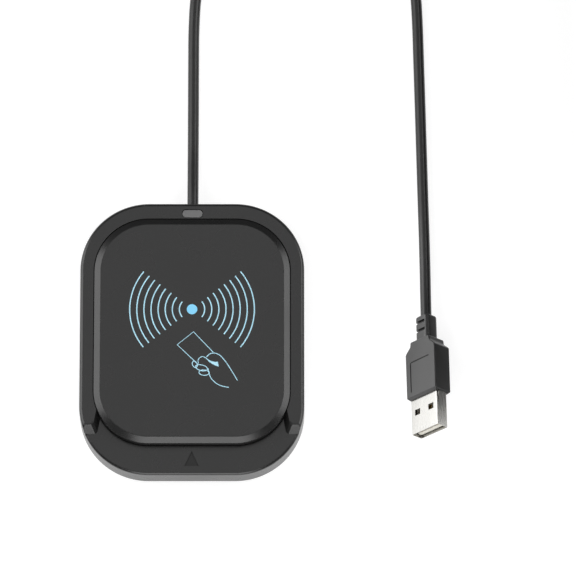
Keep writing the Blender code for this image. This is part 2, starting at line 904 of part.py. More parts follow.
def make_plug_shell(frame):
    front = relief_length + plug_body_length
    mouth = front + shell_length
    root = front - shell_root

    def sleeve(inset, low, high):
        half = shell_width / 2 - inset
        deep = shell_thick / 2 - inset
        bm = rounded_prism((-half, -deep, low), (half, deep, high), shell_corner - inset / 2, 3)
        bmesh.ops.rotate(bm, matrix=Matrix.Rotation(radians(-90.0), 3, "X"), verts=bm.verts)
        return bm

    shell = in_plug(add_part("plug_shell", sleeve(0.0, root, mouth), bright_steel), frame)
    inside = sleeve(shell_sheet, root - cut_over, mouth + cut_over)
    combine(shell, in_plug(add_cutter("shell_inside", inside), frame))
    for number, x in enumerate((-shell_hole_x, shell_hole_x), 1):
        y = front + shell_hole_y
        hole = block(
            (x - shell_hole_width / 2, y - shell_hole_length / 2, -shell_thick),
            (x + shell_hole_width / 2, y + shell_hole_length / 2, shell_thick),
        )
        combine(shell, in_plug(add_cutter(f"shell_hole_{number}", hole), frame))
    half = shell_width / 2 - shell_sheet - gap
    low = -shell_thick / 2 + shell_sheet + gap
    end = mouth - tongue_short
    tongue = block((-half, root, low), (half, end, low + tongue_thick))
    in_plug(add_part("plug_tongue", tongue, nylon), frame)
    contact_low = low + tongue_thick + gap
    for number, x in enumerate(contact_places, 1):
        bm = block(
            (x - contact_width / 2, end - contact_length - gap, contact_low),
            (x + contact_width / 2, end - gap, contact_low + contact_thick),
        )
        in_plug(add_part(f"plug_contact_{number}", bm, gold), frame)


clear_scene()
parts = make_collection("card_reader", False)
cutters = make_collection("cutters", True)

black_plastic = finish("black_plastic", 0.05, 0.05, 0.05, 0.5)
rubber = finish("rubber", 0.02, 0.02, 0.02, 0.8)
cord_black = finish("cord_black", 0.02, 0.02, 0.02, 0.4)
strap_black = finish("strap_black", 0.03, 0.03, 0.03, 0.6)
lens_grey = finish("lens_grey", 0.25, 0.25, 0.25, 0.3)
label_grey = finish("label_grey", 0.6, 0.6, 0.6, 0.5)
steel = finish("steel", 0.5, 0.5, 0.5, 0.35, 1.0)
bright_steel = finish("bright_steel", 0.8, 0.8, 0.8, 0.2, 1.0)
gold = finish("gold", 0.8, 0.6, 0.25, 0.25, 1.0)
copper = finish("copper", 0.6, 0.28, 0.15, 0.4, 1.0)
board_green = finish("board_green", 0.02, 0.15, 0.06, 0.5)
chip_black = finish("chip_black", 0.015, 0.015, 0.015, 0.5)
nylon = finish("nylon", 0.8, 0.8, 0.78, 0.5)
wire_finishes = (
    finish("wire_red", 0.5, 0.02, 0.02, 0.4),
    finish("wire_white", 0.8, 0.8, 0.8, 0.4),
    finish("wire_green", 0.02, 0.3, 0.05, 0.4),
    finish("wire_black", 0.01, 0.01, 0.01, 0.4),
)

pocket = tongue_pocket()
make_top_cover()
make_card_platform()
make_light_window()
make_base_shell()
make_feet()
make_rating_plate()
make_screws()
make_main_board()
make_components()
make_antenna()
make_grommet()
make_leads()
make_cords()
make_coil()
make_tie()
plug = plug_frame()
make_plug_relief(plug)
make_plug_body(plug)
make_plug_shell(plug)
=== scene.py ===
"""Desktop RFID card reader with its USB lead, on a white table."""

from math import cos, pi, radians, sin

import bmesh
import bpy
from mathutils import Matrix, Vector


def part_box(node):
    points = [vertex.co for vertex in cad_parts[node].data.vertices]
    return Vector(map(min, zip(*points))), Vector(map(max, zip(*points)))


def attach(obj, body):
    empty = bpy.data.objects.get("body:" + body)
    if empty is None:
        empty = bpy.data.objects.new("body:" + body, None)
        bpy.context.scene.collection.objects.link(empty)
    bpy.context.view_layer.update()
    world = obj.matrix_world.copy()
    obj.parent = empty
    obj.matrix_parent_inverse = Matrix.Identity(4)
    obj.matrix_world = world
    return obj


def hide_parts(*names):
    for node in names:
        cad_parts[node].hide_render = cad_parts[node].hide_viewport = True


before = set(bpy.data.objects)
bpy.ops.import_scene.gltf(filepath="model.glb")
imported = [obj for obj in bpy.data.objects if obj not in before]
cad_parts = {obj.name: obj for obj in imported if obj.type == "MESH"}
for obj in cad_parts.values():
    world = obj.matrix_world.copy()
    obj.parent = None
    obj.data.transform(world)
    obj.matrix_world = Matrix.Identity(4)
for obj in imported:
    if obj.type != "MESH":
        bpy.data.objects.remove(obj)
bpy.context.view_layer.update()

MM = 0.001
X, Y, Z = 0, 1, 2
# Places closer than this count as the same
touch = 1e-6

# Places taken from the CAD parts
cover_low, cover_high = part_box("top_cover")
panel_low, panel_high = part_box("card_platform")
lens_low, lens_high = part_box("light_window")
sleeve_low, sleeve_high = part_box("cord_grommet")
coil_low, coil_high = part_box("cord_coil")
strap_low, strap_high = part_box("cord_tie")

# Cover
half_width = cover_high.x
back_y = cover_high.y
front_y = cover_low.y
corner_radius = 22.2 * MM
wall = 2.0 * MM
edge_round = 0.84 * MM
rim_round = 1.25 * MM
ledge_height = 9.2 * MM
rim_height = cover_high.z
deck_under = ledge_height - 2.0 * MM
shelf_top = deck_under + 1.0 * MM
shelf_width = 1.5 * MM

# Horns: the two front ends of the raised rim
horn_back = 15.8 * MM
horn_foot_back = 13.4 * MM
horn_edge = half_width - edge_round - 3.7 * MM
horn_side_slope = 1.2 * MM
horn_lean = 0.2
horn_round = 0.9 * MM
horn_tip_round = 0.7 * MM

# Card platform
platform_front = panel_low.y
platform_back = panel_high.y
platform_half = panel_high.x
platform_corner = 17.6 * MM
platform_top = panel_high.z
platform_rise = 1.0 * MM
platform_chamfer = 2.05 * MM
platform_wall = 1.8 * MM
platform_gap = 0.2 * MM
panel_under = platform_top - platform_wall
boss_low = 5.0 * MM
boss_radius = 2.7 * MM
pilot_radius = 1.3 * MM
screw_spots = [(x, y) for x in (-24.5 * MM, 24.5 * MM) for y in (-24.0 * MM, 28.0 * MM)]

# Light window
lens_middle = (lens_low.y + lens_high.y) / 2
lens_corner = 1.1 * MM
lens_gap = 0.15 * MM

# Lead
cord_diameter = 3.6 * MM
cord_radius = cord_diameter / 2
exit_point = Vector((0.0, back_y, (sleeve_low.z + sleeve_high.z) / 2))
coil_centre = (coil_low + coil_high) / 2
outer_turn = 26.8 * MM
inner_turn = 14.2 * MM

# Plug, in its own frame: +Y towards the mouth, +Z out of the upper broad face
plug_place = Vector((75.2 * MM, 8.6 * MM, 4.69 * MM))
plug_frame = (
    Matrix.Translation(plug_place)
    @ Matrix.Rotation(pi + radians(1.2), 4, "Z")
    @ Matrix.Rotation(radians(10.0), 4, "X")
    @ Matrix.Rotation(radians(46.0), 4, "Y")
)
relief_length = 8.6 * MM
relief_half = 2.9 * MM
relief_deep = 2.6 * MM
body_front = 28.5 * MM
body_half = 6.6 * MM
body_deep = 3.5 * MM
shell_half = 6.0 * MM
shell_deep = 2.25 * MM
shell_sheet = 0.3 * MM
shell_length = 11.8 * MM
shell_root = 4.0 * MM


# ---------------------------------------------------------------- helpers


def deselect():
    for obj in bpy.context.selected_objects:
        obj.select_set(False)


def hold(obj):
    """Makes this the active object and the only selected one."""
    deselect()
    bpy.context.view_layer.objects.active = obj
    obj.select_set(True)


def settle(name):
    """Names the new active object and puts its place in its mesh."""
    obj = bpy.context.active_object
    obj.name = name
    obj.data.name = name
    hold(obj)
    bpy.ops.object.transform_apply(location=True, rotation=True, scale=True)
    return obj


def pick(obj, kind, test):
    """In edit mode, selects the vertices, edges or faces that pass the test and no others."""
    bpy.ops.mesh.select_mode(type=kind)
    bpy.ops.mesh.select_all(action="DESELECT")
    bm = bmesh.from_edit_mesh(obj.data)
    bm.normal_update()
    for item in {"VERT": bm.verts, "EDGE": bm.edges, "FACE": bm.faces}[kind]:
        if test(item):
            item.select_set(True)
    bm.select_flush_mode()
    bmesh.update_edit_mesh(obj.data)


def runs_along(axis):
    """A test for the edges that run along this axis."""

    def test(edge):
        a, b = edge.verts
        return abs((a.co - b.co).normalized()[axis]) > 0.999

    return test


def lies_at(axis, value):
    """A test for the edges that lie at this value of an axis."""
    return lambda edge: all(abs(v.co[axis] - value) < touch for v in edge.verts)


def outline_at(height):
    """A test for the outline edges of a flat face at this height."""
    level = lies_at(Z, height)
    return lambda edge: level(edge) and any(abs(f.normal.z) < 0.7 for f in edge.link_faces)


def block(name, low, high):
    low, high = Vector(low), Vector(high)
    deselect()
    bpy.ops.mesh.primitive_cube_add(size=1.0, location=(low + high) / 2, scale=high - low)
    return settle(name)


def bevel_edges(obj, test, offset, segments):
    hold(obj)
    bpy.ops.object.mode_set(mode="EDIT")
    pick(obj, "EDGE", test)
    bpy.ops.mesh.bevel(offset=offset, segments=segments, profile=0.5, affect="EDGES")
    bpy.ops.object.mode_set(mode="OBJECT")
    return obj


def bar(name, low, high, axis, corner, segments):
    """A block with its edges along one axis rounded."""
    return bevel_edges(block(name, low, high), runs_along(axis), corner, segments)


def outline_slab(name, inset, low, high):
    """A slice of the reader's outline."""
    x, y = half_width - inset, back_y - inset
    return bar(name, (-x, -y, low), (x, y, high), Z, corner_radius - inset, 28)


def panel_slab(name, inset, low, high):
    """A slice of the platform's outline."""
    x = platform_half - inset
    start = (-x, platform_front + inset, low)
    return bar(name, start, (x, platform_back - inset, high), Z, platform_corner - inset, 28)


def peg(name, x, y, low, high, radius, sides=32):
    """An upright round pin."""
    deselect()
    bpy.ops.mesh.primitive_cylinder_add(
        vertices=sides, radius=radius, depth=high - low, location=(x, y, (low + high) / 2)
    )
    return settle(name)


def lead_peg(name, middle, length, radius):
    """A round pin along the lead, where it leaves the reader."""
    deselect()
    bpy.ops.mesh.primitive_cylinder_add(
        vertices=40,
        radius=radius,
        depth=length,
        location=(0.0, middle, exit_point.z),
        rotation=(radians(90.0), 0.0, 0.0),
    )
    return settle(name)


def place_corners(obj, rule):
    """Moves each corner of a block to where the rule says."""
    corners = [vertex.co.copy() for vertex in obj.data.vertices]
    hold(obj)
    bpy.ops.object.mode_set(mode="EDIT")
    for number, corner in enumerate(corners):
        pick(obj, "VERT", lambda vertex: vertex.index == number)
        bpy.ops.transform.translate(value=rule(corner) - corner)
    bpy.ops.object.mode_set(mode="OBJECT")
    return obj


def combine(obj, tool, operation="DIFFERENCE"):
    hold(obj)
    modifier = obj.modifiers.new("Combine", "BOOLEAN")
    modifier.operation = operation
    modifier.object = tool
    bpy.ops.object.modifier_apply(modifier=modifier.name)
    bpy.data.objects.remove(tool)
    return obj


def weld(obj, reach, flat_angle=None):
    """Joins doubled points, clears the splits on flat faces, and turns every face outwards."""
    hold(obj)
    bpy.ops.object.mode_set(mode="EDIT")
    bpy.ops.mesh.select_all(action="SELECT")
    bpy.ops.mesh.remove_doubles(threshold=reach)
    if flat_angle:
        bpy.ops.mesh.dissolve_limited(angle_limit=flat_angle)
    bpy.ops.mesh.normals_make_consistent(inside=False)
    bpy.ops.object.mode_set(mode="OBJECT")
    return obj


def tidy(obj):
    """Clears what cutting leaves."""
    return weld(obj, 0.002 * MM, radians(0.2))


def soften(obj, width, segments=2, angle=40.0):
    """Rounds every sharp edge a little."""
    hold(obj)
    modifier = obj.modifiers.new("Soften", "BEVEL")
    modifier.width = width
    modifier.segments = segments
    modifier.limit_method = "ANGLE"
    modifier.angle_limit = radians(angle)
    modifier.use_clamp_overlap = True
    modifier.miter_outer = "MITER_ARC"
    bpy.ops.object.modifier_apply(modifier=modifier.name)
    return obj


def polish(obj, angle=35.0):
    """Smooth shading that keeps the flats flat."""
    hold(obj)
    bpy.ops.object.shade_smooth_by_angle(angle=radians(angle))
    modifier = obj.modifiers.new("Level", "WEIGHTED_NORMAL")
    modifier.keep_sharp = True
    modifier.weight = 80
    bpy.ops.object.modifier_apply(modifier=modifier.name)
    return obj


def piece(obj, material, slot, *nodes):
    """Gives a finished piece its material, and puts it on the object."""
    obj.data.materials.clear()
    obj.data.materials.append(material)
    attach(obj, "root")
    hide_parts(*nodes)
    return obj


def draw_curve(name, points, radius, roundness, steps, smooth=False, closed=False):
    """A round cord through these points, straight from one to the next or smooth."""
    curve = bpy.data.curves.new(name, "CURVE")
    curve.dimensions = "3D"
    curve.bevel_depth = radius
    curve.bevel_resolution = roundness
    curve.use_fill_caps = True
    curve.resolution_u = steps
    if smooth:
        spline = curve.splines.new("BEZIER")
        spline.bezier_points.add(len(points) - 1)
        for handle, place in zip(spline.bezier_points, points):
            handle.co = place
            handle.handle_left_type = "AUTO"
            handle.handle_right_type = "AUTO"
    else:
        spline = curve.splines.new("POLY")
        spline.points.add(len(points) - 1)
        for point, place in zip(spline.points, points):
            point.co = (*place, 1.0)
    spline.use_cyclic_u = closed
    obj = bpy.data.objects.new(name, curve)
    bpy.context.scene.collection.objects.link(obj)
    return obj


def stroke(name, points, radius, smooth=False, closed=False):
    """A mesh tube through these points."""
    hold(draw_curve(name, points, radius, 3, 6, smooth, closed))
    bpy.ops.object.convert(target="MESH")
    return weld(settle(name), 0.001 * MM)


# ---------------------------------------------------------------- materials

# A Mix node has sockets for every kind of data: its factor, two colours and mixed colour are these
mix_factor, mix_dark, mix_light, mix_colour = 0, 6, 7, 2
# A wave texture at scale 1 repeats after this many metres
wave_period = 0.314


def linear(code):
    """The linear colour of an sRGB hex value."""
    values = [int(code[i : i + 2], 16) / 255 for i in (1, 3, 5)]
    return [v / 12.92 if v <= 0.04045 else ((v + 0.055) / 1.055) ** 2.4 for v in values] + [1.0]


def add_node(material, kind, inputs=None, feeds=None, **settings):
    """Adds a node. An input is a value, or (node, output) to link from; feeds is the
    (output, node, input) of the link that leaves the new node."""
    tree = material.node_tree
    node = tree.nodes.new(kind)
    for name, value in settings.items():
        setattr(node, name, value)
    for socket, value in (inputs or {}).items():
        if isinstance(value, tuple) and isinstance(value[0], bpy.types.Node):
            tree.links.new(value[0].outputs[value[1]], node.inputs[socket])
        else:
            node.inputs[socket].default_value = value
    if feeds:
        output, target, socket = feeds
        tree.links.new(node.outputs[output], target.inputs[socket])
    return node


def new_material(name, base, roughness, **sockets):
    """A Principled material, returned with its shader and its object coordinates."""
    material = bpy.data.materials.new(name)
    material.use_nodes = True
    shader = material.node_tree.nodes["Principled BSDF"]
    shader.inputs["Base Color"].default_value = linear(base)
    shader.inputs["Roughness"].default_value = roughness
    for key, value in sockets.items():
        shader.inputs[key.replace("_", " ")].default_value = value
    return material, shader, (add_node(material, "ShaderNodeTexCoord"), "Object")


def dress(material, shader, pattern, colours=None, gloss=None, relief=None):
    """Lets a pattern, given as (node, output), take a surface from dark to light and from
    low roughness to high. The relief is (pattern, strength, depth) of what raises it."""
    if colours:
        dark, light = colours
        add_node(
            material,
            "ShaderNodeMix",
            {mix_factor: pattern, mix_dark: linear(dark), mix_light: linear(light)},
            (mix_colour, shader, "Base Color"),
            data_type="RGBA",
        )
    if gloss:
        low, high = gloss
        # Noise mostly lies between 0.3 and 0.7
        add_node(
            material,
            "ShaderNodeMapRange",
            {"Value": pattern, "From Min": 0.3, "From Max": 0.7, "To Min": low, "To Max": high},
            ("Result", shader, "Roughness"),
        )
    if relief:
        height, strength, depth = relief
        add_node(
            material,
            "ShaderNodeBump",
            {"Height": height, "Strength": strength, "Distance": depth},
            ("Normal", shader, "Normal"),
        )


def moulded(name, dark, light, rough_low, rough_high, texture, height):
    """Moulded plastic: a fine skin, and colour and gloss that drift a little."""
    material, shader, place = new_material(name, dark, rough_low, IOR=1.54)
    cloud_size = 14.0 * MM
    cloud = add_node(
        material, "ShaderNodeTexNoise", {"Vector": place, "Scale": 1.0 / cloud_size, "Detail": 2.0}
    )
    skin = add_node(
        material, "ShaderNodeTexNoise", {"Vector": place, "Scale": 1.0 / texture, "Detail": 4.0}
    )
    gloss = (rough_low, rough_high)
    dress(material, shader, (cloud, "Fac"), (dark, light), gloss, ((skin, "Fac"), 0.35, height))
    return material


# ABS, moulded in a spark-eroded tool: near-black, satin, with a skin of 0.3 mm grain
abs_black = moulded("abs_moulded_black", "#191919", "#1C1C1C", 0.25, 0.30, 0.32 * MM, 0.006 * MM)
# The same ABS where the tool is eroded coarser, on the floor of the arrow: darker and matt
abs_sunk = moulded("abs_moulded_sunk", "#080808", "#0C0C0C", 0.6, 0.7, 0.3 * MM, 0.03 * MM)
# Soft PVC, moulded round the plug: black, a little greyer and duller than the ABS
pvc_housing = moulded("pvc_housing_black", "#1A1A1A", "#1E1E1E", 0.33, 0.39, 0.25 * MM, 0.005 * MM)
# Thermoplastic rubber of the feet: black, matt
rubber_foot = moulded("rubber_moulded_foot", "#141414", "#1E1E1E", 0.72, 0.86, 0.4 * MM, 0.02 * MM)
# Smoke-grey polycarbonate diffuser: satin, milky
lens_grey = moulded(
    "polycarbonate_diffuser", "#656565", "#696969", 0.30, 0.36, 0.2 * MM, 0.002 * MM
)
# Natural nylon: ivory, satin
nylon_natural = moulded(
    "nylon_moulded_natural", "#D6D3C8", "#DEDBD0", 0.38, 0.46, 0.3 * MM, 0.004 * MM
)
# Moulded epoxy of the chips and the buzzer: charcoal, dull
epoxy_black = moulded("epoxy_moulded_black", "#161616", "#1C1C1C", 0.5, 0.6, 0.15 * MM, 0.004 * MM)
# Solder mask of the board: deep green, with a soft gloss
solder_mask = moulded(
    "epoxy_solder_mask_green", "#0E4A2A", "#12552F", 0.3, 0.42, 0.5 * MM, 0.01 * MM
)
# PVC insulation of the four wires: even colour, satin
wire_shades = (
    ("pvc_wire_red", "#A01414", "#AC1A1A"),
    ("pvc_wire_white", "#DADADA", "#E2E2E2"),
    ("pvc_wire_green", "#14703A", "#1A7C42"),
    ("pvc_wire_black", "#121212", "#181818"),
)
wire_finishes = [moulded(*shade, 0.36, 0.44, 0.4 * MM, 0.004 * MM) for shade in wire_shades]


def extruded_pvc(name, dark, light):
    """Cord jacket: smooth from the die, with faint marks and a slightly wavy wall."""
    material, shader, place = new_material(name, dark, 0.3, IOR=1.42)
    wave_length = 5.0 * MM
    mark_size = 0.5 * MM
    wave = add_node(
        material, "ShaderNodeTexNoise", {"Vector": place, "Scale": 1.0 / wave_length, "Detail": 2.0}
    )
    marks = add_node(
        material, "ShaderNodeTexNoise", {"Vector": place, "Scale": 1.0 / mark_size, "Detail": 3.0}
    )
    relief = ((marks, "Fac"), 0.3, 0.008 * MM)
    dress(material, shader, (wave, "Fac"), (dark, light), (0.27, 0.36), relief)
    return material


# Extruded PVC of the lead: black, with a soft broken highlight along it
pvc_cord = extruded_pvc("pvc_extruded_cord", "#1A1A1A", "#1E1E1E")


def plated(name, base, rough_low, rough_high, line, turn=(0.0, 0.0, 0.0)):
    """Bright metal: fine rolling lines along +Y of a frame that may be turned."""
    material, shader, place = new_material(name, base, rough_low, Metallic=1.0)
    turned = add_node(material, "ShaderNodeMapping", {"Vector": place, "Rotation": turn})
    drawn_out = add_node(
        material, "ShaderNodeMapping", {"Vector": (turned, "Vector"), "Scale": (1.0, 0.04, 1.0)}
    )
    lines = add_node(
        material,
        "ShaderNodeTexNoise",
        {"Vector": (drawn_out, "Vector"), "Scale": 1.0 / line, "Detail": 1.0},
    )
    pattern = (lines, "Fac")
    dress(
        material, shader, pattern, gloss=(rough_low, rough_high), relief=(pattern, 0.02, 0.001 * MM)
    )
    return material


to_plug = tuple(plug_frame.to_3x3().inverted().to_euler())
# Nickel-plated sheet steel of the plug's shell: bright, with faint lines towards the mouth
nickel = plated("steel_nickel_plated", "#B0AFAC", 0.26, 0.30, 0.3 * MM, to_plug)
# Zinc-plated steel of the screws and the crystal's can: duller and a little bluer
zinc = plated("steel_zinc_plated", "#A9ACAE", 0.32, 0.45, 0.2 * MM)
# Gold-flashed bronze of the contacts: warm and bright
gold = plated("bronze_gold_flashed", "#E2B866", 0.2, 0.3, 0.15 * MM, to_plug)
# Enamelled copper of the antenna: red-brown, half bright
copper = plated("copper_enamelled_wire", "#B5683B", 0.3, 0.42, 0.25 * MM)
# Metallised polyester of the blank rating plate: light grey, half bright
foil = plated("polyester_foil_label", "#B9BBBD", 0.34, 0.46, 0.4 * MM)


def ink(name, base):
    """Pad-printed ink: thin and slightly uneven."""
    material, shader, place = new_material(name, base, 0.42, IOR=1.48)
    speck_size = 0.4 * MM
    speck = add_node(
        material, "ShaderNodeTexNoise", {"Vector": place, "Scale": 1.0 / speck_size, "Detail": 3.0}
    )
    dress(material, shader, (speck, "Fac"), gloss=(0.38, 0.5))
    return material


# Pad-printed inks: sky blue for the dot, a paler blue for the lines
ink_blue = ink("ink_pad_printed_blue", "#84D2F6")
ink_pale = ink("ink_pad_printed_pale", "#B0E0F2")


def woven(name, dark, light, thread):
    """Woven strap: threads across and along, at their real spacing."""
    material, shader, place = new_material(name, dark, 0.8)
    waves = [
        add_node(
            material,
            "ShaderNodeTexWave",
            {"Vector": place, "Scale": wave_period / thread, "Distortion": 0.4},
            bands_direction=direction,
        )
        for direction in ("X", "Y")
    ]
    weave = add_node(
        material,
        "ShaderNodeMath",
        {0: (waves[0], "Fac"), 1: (waves[1], "Fac")},
        operation="MULTIPLY",
    )
    pattern = (weave, "Value")
    dress(material, shader, pattern, (dark, light), relief=(pattern, 0.8, 0.08 * MM))
    return material


# Hook-and-loop strap of woven nylon: black, matt, with threads that show
strap_weave = woven("nylon_woven_strap", "#141414", "#2C2C2C", 0.5 * MM)


# ---------------------------------------------------------------- camera, table and light


def make_camera():
    look_at = Vector((30.76 * MM, 19.76 * MM, 0.0))
    tilt = radians(16.0)
    view_width = 186.05 * MM
    lens = 400.0
    sensor = 36.0
    away = view_width * lens / sensor
    deselect()
    bpy.ops.object.camera_add(
        location=look_at + Vector((0.0, -sin(tilt), cos(tilt))) * away,
        rotation=(tilt, 0.0, 0.0),
    )
    camera = bpy.context.active_object
    camera.data.lens = lens
    camera.data.sensor_width = sensor
    camera.data.clip_start = 0.05
    camera.data.clip_end = 20.0
    bpy.context.scene.camera = camera


def make_table():
    """A white table top, which gives off some light of its own."""
    just_under = -0.02 * MM
    deselect()
    bpy.ops.mesh.primitive_plane_add(size=6.0, location=(0.03, 0.05, just_under))
    table = settle("table")
    # Pressed laminate: white and matt
    laminate = new_material(
        "table_white_laminate",
        "#9A9A9A",
        0.85,
        Specular_IOR_Level=0.1,
        Emission_Color=linear("#FFFFFF"),
        Emission_Strength=0.8,
    )[0]
    table.data.materials.append(laminate)


def make_black_card():
    """A low black card beside the plug: keeps the plug's narrow side dark."""
    height, length = 0.055, 0.171
    deselect()
    bpy.ops.mesh.primitive_plane_add(
        size=1.0, location=(0.126, 0.079, 0.0285), rotation=(0.0, radians(90.0), 0.0)
    )
    card = bpy.context.active_object
    card.scale = (height, length, 1.0)
    card = settle("black_card")
    # Uncoated paper: black, dead matt
    paper = new_material("paper_black_card", "#050505", 0.9, Specular_IOR_Level=0.0)[0]
    card.data.materials.append(paper)
    card.visible_camera = False


def area_lamp(name, place, rotation, size, radiance):
    deselect()
    bpy.ops.object.light_add(type="AREA", location=place)
    lamp = bpy.context.active_object
    lamp.name = name
    lamp.rotation_euler = rotation
    lamp.data.shape = "RECTANGLE"
    lamp.data.size, lamp.data.size_y = size
    lamp.data.energy = radiance * pi * size[0] * size[1]
    lamp.visible_camera = False


def soft_box(name, direction, away, size, radiance):
    """A rectangular lamp that looks at the reader from this direction."""
    aim = Vector((0.02, 0.0, 0.0))
    way = Vector(direction).normalized()
    area_lamp(name, aim + way * away, way.to_track_quat("Z", "Y").to_euler(), size, radiance)


def make_light():
    side_size, side_light = (0.75, 1.05), 2.9
    soft_box("box_left", (-0.82, 0.25, 0.515), 1.0, side_size, side_light)
    soft_box("box_right", (0.82, 0.25, 0.515), 1.0, side_size, side_light)
    soft_box("box_front", (0.0, -0.80, 0.60), 1.0, (0.60, 1.20), 3.1)
    soft_box("box_top", (0.0, 0.276, 0.961), 1.2, (0.70, 0.80), 0.88)
    # A narrow lamp between the reader and the plug lights the plug's broad face
    sideways = (0.0, radians(-90.0), 0.0)
    area_lamp("strip_plug", (0.046, 0.0, 0.021), sideways, (0.04, 0.10), 1.5)
    world = bpy.data.worlds.new("studio")
    world.use_nodes = True
    background = world.node_tree.nodes["Background"]
    background.inputs["Color"].default_value = linear("#FFFFFF")
    background.inputs["Strength"].default_value = 0.07
    bpy.context.scene.world = world
    bpy.context.scene.view_settings.view_transform = "Standard"


# ---------------------------------------------------------------- lead


def turn_point(degrees, radius, height):
    """A point of the coil's turns."""
    angle = radians(degrees)
    x = coil_centre.x + radius * cos(angle)
    return Vector((x, coil_centre.y + radius * sin(angle), height))


def near(base, *steps):
    """Points at (across, along, up) from a place, in millimetres, up from a lead on the table."""
    return [
        Vector((base.x + x * MM, base.y + y * MM, cord_radius + rise * MM)) for x, y, rise in steps
    ]


def coil_points():
    """Two layers of turns, angles in degrees: round and inwards below, then up and outwards."""
    enter, leave = 190.8, -2530.8
    merge = 70.0
    layer = 1260.0
    climb = 180.0
    step = 22.5
    low_z = coil_low.z + cord_radius
    high_z = coil_high.z - cord_radius
    beside = 30.85 * MM
    sag = 0.4 * MM
    pitch = cord_diameter / 360.0
    low_end = enter - merge - layer
    high_start = low_end - climb
    high_end = leave + merge
    points = []
    angle = enter
    while angle > leave:
        if angle > enter - merge:
            share = (enter - angle) / merge
            radius = outer_turn + (beside - outer_turn) * (1 - share) ** 2
            height = low_z
        elif angle > low_end:
            radius = outer_turn - pitch * (enter - merge - angle)
            height = low_z
        elif angle > high_start:
            radius = inner_turn
            share = (low_end - angle) / (low_end - high_start)
            height = low_z + (high_z - low_z) * (0.5 - 0.5 * cos(pi * share))
        elif angle > high_end:
            radius = inner_turn + pitch * (high_start - angle)
            height = high_z
        else:
            start = inner_turn + pitch * (high_start - high_end)
            share = (high_end - angle) / merge
            radius = start + (beside - start) * share**2
            height = high_z - sag * share
        points.append(turn_point(angle, radius, height))
        angle -= step
    return points


def lead_points():
    """The lead from the grommet, round both layers of the coil, and on to the plug."""
    exit_rise = (exit_point.z - cord_radius) / MM
    plug_rise = (plug_place.z - cord_radius) / MM
    points = near(
        exit_point,
        (0.0, -1.2, exit_rise),
        (0.0, 0.3, exit_rise),
        (0.0, 5.2, exit_rise * 0.92),
        (0.0, 11.2, exit_rise * 0.64),
        (0.0, 18.2, exit_rise * 0.3),
        (0.0, 26.2, exit_rise * 0.08),
        (0.0, 35.2, 0.02),
        (0.0, 50.2, 0.02),
    )
    points += near(
        coil_centre,
        (-36.9, -39.0, 0.02),
        (-36.3, -29.0, 0.1),
        (-34.9, -20.0, 0.4),
        (-32.7, -12.0, 0.7),
    )
    points += coil_points()
    points += near(
        coil_centre,
        (30.3, -5.8, 4.1),
        (32.4, -12.0, 3.3),
        (34.3, -20.0, 1.9),
        (35.5, -29.0, 0.6),
        (36.0, -38.0, 0.1),
        (36.3, -49.0, 0.02),
    )
    points += near(
        plug_place,
        (-1.5, 73.4, 0.02),
        (-1.1, 56.4, 0.02),
        (-0.7, 39.4, plug_rise * 0.02),
        (-0.4, 27.4, plug_rise * 0.06),
        (-0.2, 16.4, plug_rise * 0.26),
        (-0.1, 7.4, plug_rise * 0.6),
        (0.0, 0.35, plug_rise),
        (0.0, -1.0, plug_rise + 0.24),
    )
    return points


def make_lead():
    lead = draw_curve("usb_lead", lead_points(), cord_radius, 5, 4, smooth=True)
    return piece(lead, pvc_cord, "cord_jacket", "cord_lead", "cord_coil", "cord_tail")


def make_strap():
    """A hook-and-loop strap closed round the coil, its end lapped over on top."""
    low, high = strap_low, strap_high
    thick = 0.6 * MM
    outer_bend, inner_bend = 3.2 * MM, 2.6 * MM
    strap = bar("coil_strap", low, high, X, outer_bend, 8)
    inner_low = (low.x - MM, low.y + thick, low.z + thick)
    inner_high = (high.x + MM, high.y - thick, high.z - thick)
    combine(strap, bar("strap_inside", inner_low, inner_high, X, inner_bend, 8))
    lap_inset = 0.2 * MM
    lap_low = (low.x + lap_inset, low.y + 4.6 * MM, high.z - 0.1 * MM)
    lap_high = (high.x - lap_inset, high.y - 3.6 * MM, high.z + 0.5 * MM)
    combine(strap, bar("strap_lap", lap_low, lap_high, Z, 1.6 * MM, 6), "UNION")
    polish(soften(tidy(strap), 0.12 * MM))
    return piece(strap, strap_weave, "strap", "cord_tie")


def make_grommet():
    """The bushing in the back wall, with the lead through it."""
    length = sleeve_high.y - sleeve_low.y
    sleeve = lead_peg("lead_bushing", (sleeve_low.y + sleeve_high.y) / 2, length, 2.4 * MM)
    flange_y = back_y - wall - 1.1 * MM
    combine(sleeve, lead_peg("flange", flange_y, 1.6 * MM, 2.7 * MM), "UNION")
    combine(sleeve, lead_peg("lead_hole", back_y, 2.4 * MM, cord_radius + 0.03 * MM))
    polish(soften(tidy(sleeve), 0.18 * MM, 3))
    piece(sleeve, pvc_cord, "cord_jacket", "cord_grommet")


# ---------------------------------------------------------------- reader


def drop_below(obj, height, depth):
    """Carries the flat bottom of a block straight down."""

    def bottom(face):
        return face.normal.z < -0.9 and abs(face.calc_center_median().z - height) < touch

    hold(obj)
    bpy.ops.object.mode_set(mode="EDIT")
    pick(obj, "FACE", bottom)
    bpy.ops.mesh.extrude_region_move(TRANSFORM_OT_translate={"value": (0.0, 0.0, -depth)})
    bpy.ops.object.mode_set(mode="OBJECT")
    return obj


